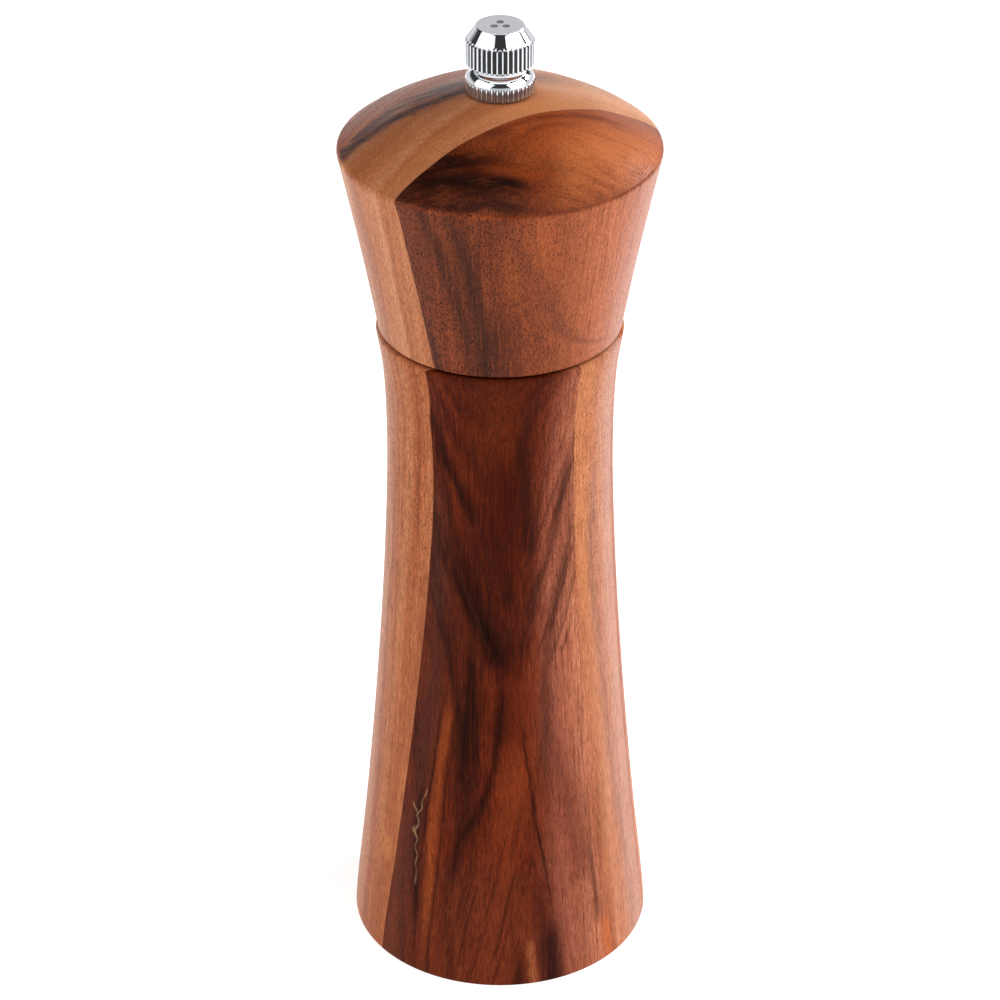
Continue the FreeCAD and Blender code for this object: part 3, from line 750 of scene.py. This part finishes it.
def knob_chrome():
    """Bright plating, with painted shade near black in the flutes; the flat top is brushed and its engraved
    dots are dark.
    """
    s = Shader("knob_plating", Metallic=1.0)
    brushed = s.noise(s.point(s.times(s.x, 0.7), s.times(s.y, 9.0), s.z), 4.0, 0.7)
    smudge = s.noise(s.place, 4.0, scale=0.45)
    flat = s.math("GREATER_THAN", s.z, KNOB_TOP - 0.24)
    radius = s.math("SQRT", s.add(s.times(s.x, s.x), s.times(s.y, s.y)))
    lower_band = s.math("LESS_THAN", s.z, LOWER_BAND_TOP)
    upper_band = s.math("GREATER_THAN", s.z, UPPER_BAND_BOTTOM)
    upper_band = s.times(upper_band, s.span(s.z, KNOB_SHOULDER, KNOB_SHOULDER + 0.4, 1.0, 0.0))
    # painted shade: the flutes are darkened towards black, less so in the lower band
    painted_flute_shade = s.times(s.span(radius, 6.76, 6.93, 1.0, 0.0), s.add(s.times(lower_band, 0.6), upper_band))
    flat = s.times(flat, s.math("LESS_THAN", radius, KNOB_TOP_RADIUS - 0.02))
    engraved = s.times(flat, s.math("LESS_THAN", s.z, KNOB_TOP - 0.05))
    bright = s.mix(s.span(smudge, 0.35, 0.75), srgb(220, 222, 226), srgb(206, 209, 214))
    top = s.mix(s.span(brushed, 0.3, 0.7), srgb(196, 197, 204), srgb(214, 215, 220))
    colour = s.mix(engraved, s.mix(flat, bright, top), srgb(128, 122, 124))
    # lays the painted shade into the flutes
    colour = s.mix(s.times(painted_flute_shade, 0.97), colour, srgb(24, 22, 22))
    s.put(s.bsdf.inputs["Metallic"], s.span(flat, 0.0, 1.0, 1.0, 0.25))
    s.bump(s.times(brushed, flat), 0.003)
    rough = s.add(s.times(flat, s.span(brushed, 0.3, 0.7, 0.30, 0.42)), s.times(smudge, 0.05), 0.02)
    return s.finish(colour, rough)


def plastic(name, colour, lighter, roughness):
    s = Shader(name, Specular_IOR_Level=0.45)
    pits = s.noise(s.place, 4.0, 0.6, scale=5.0)
    cloud = s.noise(s.place, 2.0, scale=0.25)
    s.bump(pits, 0.02)
    tone = s.mix(s.span(s.add(s.times(pits, 0.35), s.times(cloud, 0.65)), 0.35, 0.65), colour, lighter)
    return s.finish(tone, s.add(s.times(pits, 0.18), roughness))


def ceramic_material():
    """White sintered ceramic, matt, with a little pepper dust on it."""
    s = Shader("burr_ceramic", Specular_IOR_Level=0.5)
    body = s.noise(s.place, 3.0, scale=0.4)
    speck = s.cells(s.place, 1.1)
    dust = s.times(s.span(speck, 0.05, 0.16, 1.0, 0.0), s.span(body, 0.45, 0.6))
    tone = s.mix(s.span(body, 0.35, 0.65), srgb(236, 232, 222), srgb(222, 216, 203))
    s.bump(s.noise(s.place, 3.0, scale=6.0), 0.015)
    return s.finish(s.mix(s.times(dust, 0.7), tone, srgb(112, 92, 70)), s.add(s.times(body, 0.15), 0.42))


# ---- turned parts
def make_body(material):
    """Waisted body, bored through, with seats for the grinder housing and its flange."""
    foot = corner((FOOT_RADIUS - FOOT_ROUND, FOOT_ROUND), FOOT_ROUND, -90, 0)
    side = spline([(FOOT_RADIUS, FOOT_ROUND), (32.37, 4.5), (29.70, 29.7), (26.60, 65.0), (24.59, 96.7),
                   (23.82, 123.0), (24.48, 139.8), (25.7, SEAM - BODY_TOP_ROUND)])
    top = corner((25.0, SEAM - BODY_TOP_ROUND), BODY_TOP_ROUND, 0, 90)
    ring = [(21.4, SEAM), (21.0, SEAM + LIGHT_STOP)]
    ring += corner((CHAMBER_RADIUS + 0.8, SEAM + LIGHT_STOP - 0.8), 0.8, 90, 180)
    inside = [(CHAMBER_RADIUS, z) for z in (120.0, 80.0, HOUSING_SEAT_TOP)]
    inside += [(HOUSING_SEAT_RADIUS, z) for z in (HOUSING_SEAT_TOP, FLANGE_SEAT_TOP)]
    inside += [(FLANGE_SEAT_RADIUS, z) for z in (FLANGE_SEAT_TOP, 0.5)]
    profile = [(FLANGE_SEAT_RADIUS + 0.5, 0.0)] + foot[:-1] + side + top[1:] + ring + inside
    obj = lathe("turned_body", profile, material)
    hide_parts("body")
    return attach(obj, "mill_body")


def make_head(material):
    """Flared head with a domed top and a spigot that drops into the body."""
    spigot_bottom = HEAD_BOTTOM - SPIGOT_LENGTH
    spigot = corner((SPIGOT_RADIUS - SPIGOT_ROUND, spigot_bottom + SPIGOT_ROUND), SPIGOT_ROUND, -90, 0)
    under = [(SPIGOT_RADIUS, HEAD_BOTTOM)] + corner((24.9, HEAD_BOTTOM + 0.5), 0.5, -90, 0)
    side = spline([(25.4, HEAD_BOTTOM + 0.5), (27.62, 162.2), (30.28, 175.6), (32.72, 187.3)])
    rim = corner((31.62, 188.35), 1.34, -12, 52, 8)
    dome = spline([rim[-1], (29.0, 191.95), (25.0, 194.32), (20.0, 196.94), (14.0, 198.9), (7.6, 200.72)])
    seat = [(7.3, HEAD_TOP), (BUSH_SEAT_RADIUS, HEAD_TOP)]
    seat += [(BUSH_SEAT_RADIUS, BUSH_SEAT_BOTTOM), (HEAD_BORE, BUSH_SEAT_BOTTOM)]
    profile = [(HEAD_BORE, spigot_bottom)] + spigot + under[:-1] + side[:-1] + rim[:-1] + dome + seat
    obj = lathe("turned_head", profile, material)
    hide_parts("head")
    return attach(obj, "head")


def knob_profile():
    """Outline from the top of the bore, round the outside, to the flat top close to its middle."""
    profile = [(KNOB_BORE, KNOB_SHOULDER), (KNOB_BORE, KNOB_BOTTOM + 0.6)]
    profile += [(3.65, KNOB_BOTTOM), (6.6, KNOB_BOTTOM)]
    # lower band
    profile += corner((6.75, KNOB_BOTTOM + 0.25), 0.25, -90, 0, 4)
    profile += [(7.0, KNOB_BOTTOM + 0.8), (7.0, 203.3)] + corner((6.8, 203.7), 0.2, 0, 70, 4)
    # neck
    profile += spline([(6.86, 203.9), (6.72, 204.35), (6.35, 204.95), (5.8, 205.45), (5.3, 205.75)], 0.12)
    profile += [(5.22, 205.85), (5.22, 206.35), (5.4, 206.45), (5.9, 206.5), (6.25, 206.62)]
    # upper band
    profile += [(6.4, 206.75), (6.75, 207.0)] + corner((6.7, 207.35), 0.25, -50, 0, 4)
    profile += [(6.95, z) for z in (208.5, 210.0, 211.5, KNOB_SHOULDER)]
    profile += corner((6.87, KNOB_SHOULDER + 0.02), 0.08, 0, 36, 2)
    # cone and flat top
    cone = [(6.93, KNOB_SHOULDER + 0.08), (KNOB_TOP_RADIUS + 0.06, KNOB_TOP - 0.1)]
    profile += [tuple(a + (b - a) * k / 12 for a, b in zip(*cone)) for k in range(1, 13)]
    profile += [(KNOB_TOP_RADIUS - 0.04, KNOB_TOP)]
    profile += [((KNOB_TOP_RADIUS - 0.1) * (1 - k / 30), KNOB_TOP) for k in range(30)]
    return profile


def in_flute(r, angle):
    """Radius r, or that of the flute's bottom if it is less, at an angle from the flute's middle."""
    root = max(0.0, FLUTE_RADIUS ** 2 - (FLUTE_AXIS * math.sin(angle)) ** 2)
    return min(r, FLUTE_AXIS * math.cos(angle) - math.sqrt(root))


def make_knob(material):
    """Turned profile whose rows are pulled in where the round-bottomed flutes cut it."""
    profile = knob_profile()
    pitch = 2 * math.pi / FLUTES
    half = math.asin(FLUTE_RADIUS / FLUTE_AXIS)
    steps = [half * math.sin(math.pi / 2 * k / 5) for k in range(-5, 6)]
    steps += [half + (pitch - 2 * half) * k / 3 for k in (1, 2)]
    verts = []
    for i, (r, z) in enumerate(profile):
        in_bore = i < 2
        in_band = z < LOWER_FLUTES_TOP or UPPER_FLUTES_BOTTOM < z < KNOB_TOP - 0.2
        for f in range(FLUTES):
            for a in steps:
                fluted = in_band and not in_bore and abs(a) < half + 1e-9
                reach = in_flute(r, a) if fluted else r
                angle = a + f * pitch
                x = reach * math.cos(angle)
                y = reach * math.sin(angle)
                verts.append((x, y, z - engraving(x, y) if z >= KNOB_TOP else z))
    ring = FLUTES * len(steps)
    faces = skin(len(profile), ring)
    last = (len(profile) - 1) * ring
    bore_middle = len(verts)
    top_middle = bore_middle + 1
    verts += [(0, 0, KNOB_SHOULDER), (0, 0, KNOB_TOP)]
    for k in range(ring):
        m = (k + 1) % ring
        faces.append((m, k, bore_middle))
        faces.append((last + k, last + m, top_middle))
    obj = new_object("fluted_knob", verts, faces, material, 28)
    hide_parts("knob")
    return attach(obj, "knob")


def engraving(x, y):
    """Depth of a plain mark of three round dots in the knob's flat top."""
    spread = 1.35
    dot_radius = 0.82
    deepest = 0.12
    depth = 0.0
    for k in range(3):
        a = math.radians(90 + 120 * k)
        away = math.hypot(x - spread * math.cos(a), y - spread * math.sin(a))
        depth = max(depth, min(deepest, dot_radius - away))
    return depth


def rod_outline():
    """Square with rounded corners, anticlockwise."""
    centre = ROD_HALF_WIDTH - ROD_ROUND
    outline = []
    for quarter in range(4):
        turn = math.pi / 2 * quarter
        for x, y in corner((centre, centre), ROD_ROUND, 0, 90, 4):
            outline.append((x * math.cos(turn) - y * math.sin(turn), x * math.sin(turn) + y * math.cos(turn)))
    return outline


def make_spindle(material):
    """Square rod with rounded corners, turned down to a single-start thread at the top."""
    low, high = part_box("spindle")
    bottom = low[2] / MM
    tip = high[2] / MM
    outline = rod_outline()
    n = len(outline)
    lengths = 20
    levels = [(bottom, 0.93), (bottom + ROD_CHAMFER, 1.0)]
    levels += [(bottom + (SQUARE_TOP - 0.6 - bottom) * k / lengths, 1.0) for k in range(1, lengths + 1)]
    verts = [(x * share, y * share, z) for z, share in levels for x, y in outline]
    faces = [tuple(reversed(range(n)))] + skin(len(levels), n)
    top = (len(levels) - 1) * n
    base = len(verts)
    for x, y in outline:
        share = ROD_SHOULDER / math.hypot(x, y)
        verts.append((x * share, y * share, SQUARE_TOP))
    for k in range(n):
        m = (k + 1) % n
        faces.append((top + k, top + m, base + m, base + k))
    faces.append(tuple(base + k for k in range(n)))
    rod = new_object("spindle_rod", verts, faces, material)
    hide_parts("spindle")
    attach(rod, "spindle")
    make_thread(material, SQUARE_TOP - 0.3, tip)


def make_thread(material, start, tip):
    """Single-start V thread: every ring of the mesh is pulled in and out as the helix passes it."""
    around = 48
    rings_per_pitch = 10
    run_out = 1.2  # plain length below the thread
    point = 0.8  # length that tapers at the tip
    rows = int((tip - start) / THREAD_PITCH * rings_per_pitch)
    verts = []
    for i in range(rows + 1):
        z = start + (tip - start) * i / rows
        for k in range(around):
            phase = (z - start) / THREAD_PITCH - k / around
            wave = abs(2 * (phase - math.floor(phase)) - 1)
            flank = min(1.0, max(0.0, 1.35 * wave - 0.15))
            r = THREAD_ROOT + (THREAD_CREST - THREAD_ROOT) * flank
            r = min(r, THREAD_CREST - 0.75 * max(0.0, 1 - (tip - z) / point))
            if z < start + run_out:
                r = THREAD_ROOT
            a = 2 * math.pi * k / around
            verts.append((r * math.cos(a), r * math.sin(a), z))
    faces = skin(rows + 1, around)
    faces.append(tuple(reversed(range(around))))
    faces.append(tuple(rows * around + k for k in range(around)))
    thread = new_object("spindle_thread", verts, faces, material, 40)
    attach(thread, "spindle")


def coil_height(turn, bottom, top):
    """Height of the wire's middle after so many turns; the end coils lie almost flat."""
    climb = CLOSED_CLIMB * CLOSED_COILS
    if turn < CLOSED_COILS:
        return bottom + WIRE_RADIUS + CLOSED_CLIMB * turn
    if turn > COILS - CLOSED_COILS:
        return top - WIRE_RADIUS - CLOSED_CLIMB * (COILS - turn)
    share = (turn - CLOSED_COILS) / (COILS - 2 * CLOSED_COILS)
    return bottom + WIRE_RADIUS + climb + share * (top - bottom - 2 * WIRE_RADIUS - 2 * climb)


def make_spring(material):
    """Compression spring with closed end coils, which flattens as the knob is tightened."""
    low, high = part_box("spring")
    bottom = low[2] / MM
    top = high[2] / MM
    sides = 12
    around = 40
    rows = int(COILS * around)
    verts, faces = [], []
    for i in range(rows + 1):
        turn = i / rows * COILS
        z = coil_height(turn, bottom, top)
        a = 2 * math.pi * turn
        for k in range(sides):
            b = 2 * math.pi * k / sides
            r = COIL_RADIUS + WIRE_RADIUS * math.cos(b)
            verts.append((r * math.cos(a), r * math.sin(a), z + WIRE_RADIUS * math.sin(b)))
    for i in range(rows):
        here = i * sides
        ahead = here + sides
        for k in range(sides):
            m = (k + 1) % sides
            faces.append((here + k, ahead + k, ahead + m, here + m))
    faces.append(tuple(range(sides)))
    faces.append(tuple(rows * sides + k for k in reversed(range(sides))))
    coil = new_object("coil_spring", verts, faces, material)
    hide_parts("spring")
    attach(coil, "spring_seat")
    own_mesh(coil)


# ---- build
steel = metal("steel", srgb(176, 176, 178), 0.24, 0.12, (1.6, 1.6, 1.6))
spring_steel = metal("spring_steel", srgb(168, 168, 172), 0.22, 0.10, (1.2, 1.2, 1.2))
aluminium = metal("spindle_metal", srgb(202, 204, 208), 0.26, 0.14, (6.0, 6.0, 0.12), 0.006)
black = plastic("housing_plastic", srgb(30, 30, 32), srgb(44, 44, 46), 0.42)
ivory = plastic("bush_plastic", srgb(226, 222, 208), srgb(210, 205, 190), 0.38)
ceramic = ceramic_material()

make_body(body_wood())
make_head(head_wood())
make_knob(knob_chrome())
make_spindle(aluminium)
make_spring(spring_steel)

NODE_MATERIALS = {
    steel: ("drive_plate", "drive_plate_screws", "housing_screws", "burr_washer", "burr_screw",
            "upper_spring_washer", "lower_spring_washer"),
    black: ("grinder_housing", "bridge", "burr_retaining_ring", "burr_carrier"),
    ivory: ("spindle_bush", "head_bush"),
    ceramic: ("inner_burr", "outer_burr"),
}
for material, names in NODE_MATERIALS.items():
    for node_name in names:
        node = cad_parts[node_name]
        node.data.materials.clear()
        node.data.materials.append(material)


# ---- floor, light and camera
def add_floor():
    """White light table, bright enough to carry hardly any shadow."""
    mesh = bpy.data.meshes.new("floor")
    half = 6.0
    verts = [(-half, -half, 0), (half, -half, 0), (half, half, 0), (-half, half, 0)]
    mesh.from_pydata(verts, [], [(0, 1, 2, 3)])
    floor = bpy.data.objects.new("floor", mesh)
    bpy.context.scene.collection.objects.link(floor)
    s = Shader("floor_paper", Specular_IOR_Level=0.0, Emission_Color=(1, 1, 1, 1), Emission_Strength=0.65)
    mesh.materials.append(s.finish(srgb(232, 232, 232), 0.9))


# name, azimuth and elevation in degrees, distance, width and height in metres, radiance
PANELS = [
    ("left_box", -62, 32, 1.0, 1.1, 0.9, 1.5),
    ("right_box", 66, 32, 1.0, 1.1, 0.9, 2.2),
    ("top_box", 0, 72, 1.1, 0.9, 0.35, 2.0),
    ("rear_box", 120, 27, 1.1, 0.40, 0.30, 21.0),
    ("back_box", 180, 14, 1.2, 1.2, 0.3, 1.6),
]
PANEL_AIM_HEIGHT = 0.12


def add_panel(name, azimuth, elevation, distance, width, height, radiance):
    """Soft box aimed at the mill; azimuth is counted from the front towards +X, in degrees."""
    a = math.radians(azimuth)
    e = math.radians(elevation)
    aim = Vector((0, 0, PANEL_AIM_HEIGHT))
    place = aim + distance * Vector((math.sin(a) * math.cos(e), -math.cos(a) * math.cos(e), math.sin(e)))
    light = bpy.data.lights.new(name, "AREA")
    light.shape = "RECTANGLE"
    light.size = width
    light.size_y = height
    light.energy = radiance * math.pi * width * height
    obj = bpy.data.objects.new(name, light)
    obj.location = place
    obj.rotation_euler = (aim - place).to_track_quat("-Z", "Y").to_euler()
    bpy.context.scene.collection.objects.link(obj)


def add_world():
    """Room that is bright around the horizon and dim overhead."""
    world = bpy.data.worlds.new("room")
    world.use_nodes = True
    bpy.context.scene.world = world
    nodes, links = world.node_tree.nodes, world.node_tree.links
    place = nodes.new("ShaderNodeTexCoord").outputs["Generated"]
    split = nodes.new("ShaderNodeSeparateXYZ")
    links.new(place, split.inputs[0])
    ramp = nodes.new("ShaderNodeValToRGB")
    links.new(split.outputs[2], ramp.inputs[0])
    horizon, overhead = ramp.color_ramp.elements
    horizon.position = 0.10
    horizon.color = (1.0, 1.0, 1.0, 1)
    overhead.position = 0.32
    overhead.color = (0.05, 0.05, 0.05, 1)
    links.new(ramp.outputs[0], nodes["Background"].inputs[0])
    nodes["Background"].inputs[1].default_value = 1.0


CAMERA_PLACE = (0.0, -0.66101, 0.50451)
CAMERA_TILT = 58.873  # degrees from looking straight down
CAMERA_LENS = 130.47
SENSOR_WIDTH = 36.0


def add_camera():
    """Looks down at 31 degrees from the front, about 0.83 m from the place where the foot stands."""
    camera = bpy.data.cameras.new("camera")
    camera.lens = CAMERA_LENS
    camera.sensor_width = SENSOR_WIDTH
    obj = bpy.data.objects.new("camera", camera)
    obj.location = CAMERA_PLACE
    obj.rotation_euler = (math.radians(CAMERA_TILT), 0.0, 0.0)
    bpy.context.scene.collection.objects.link(obj)
    bpy.context.scene.camera = obj


add_floor()
add_world()
for panel in PANELS:
    add_panel(*panel)
add_camera()
bpy.context.scene.view_settings.view_transform = "Standard"
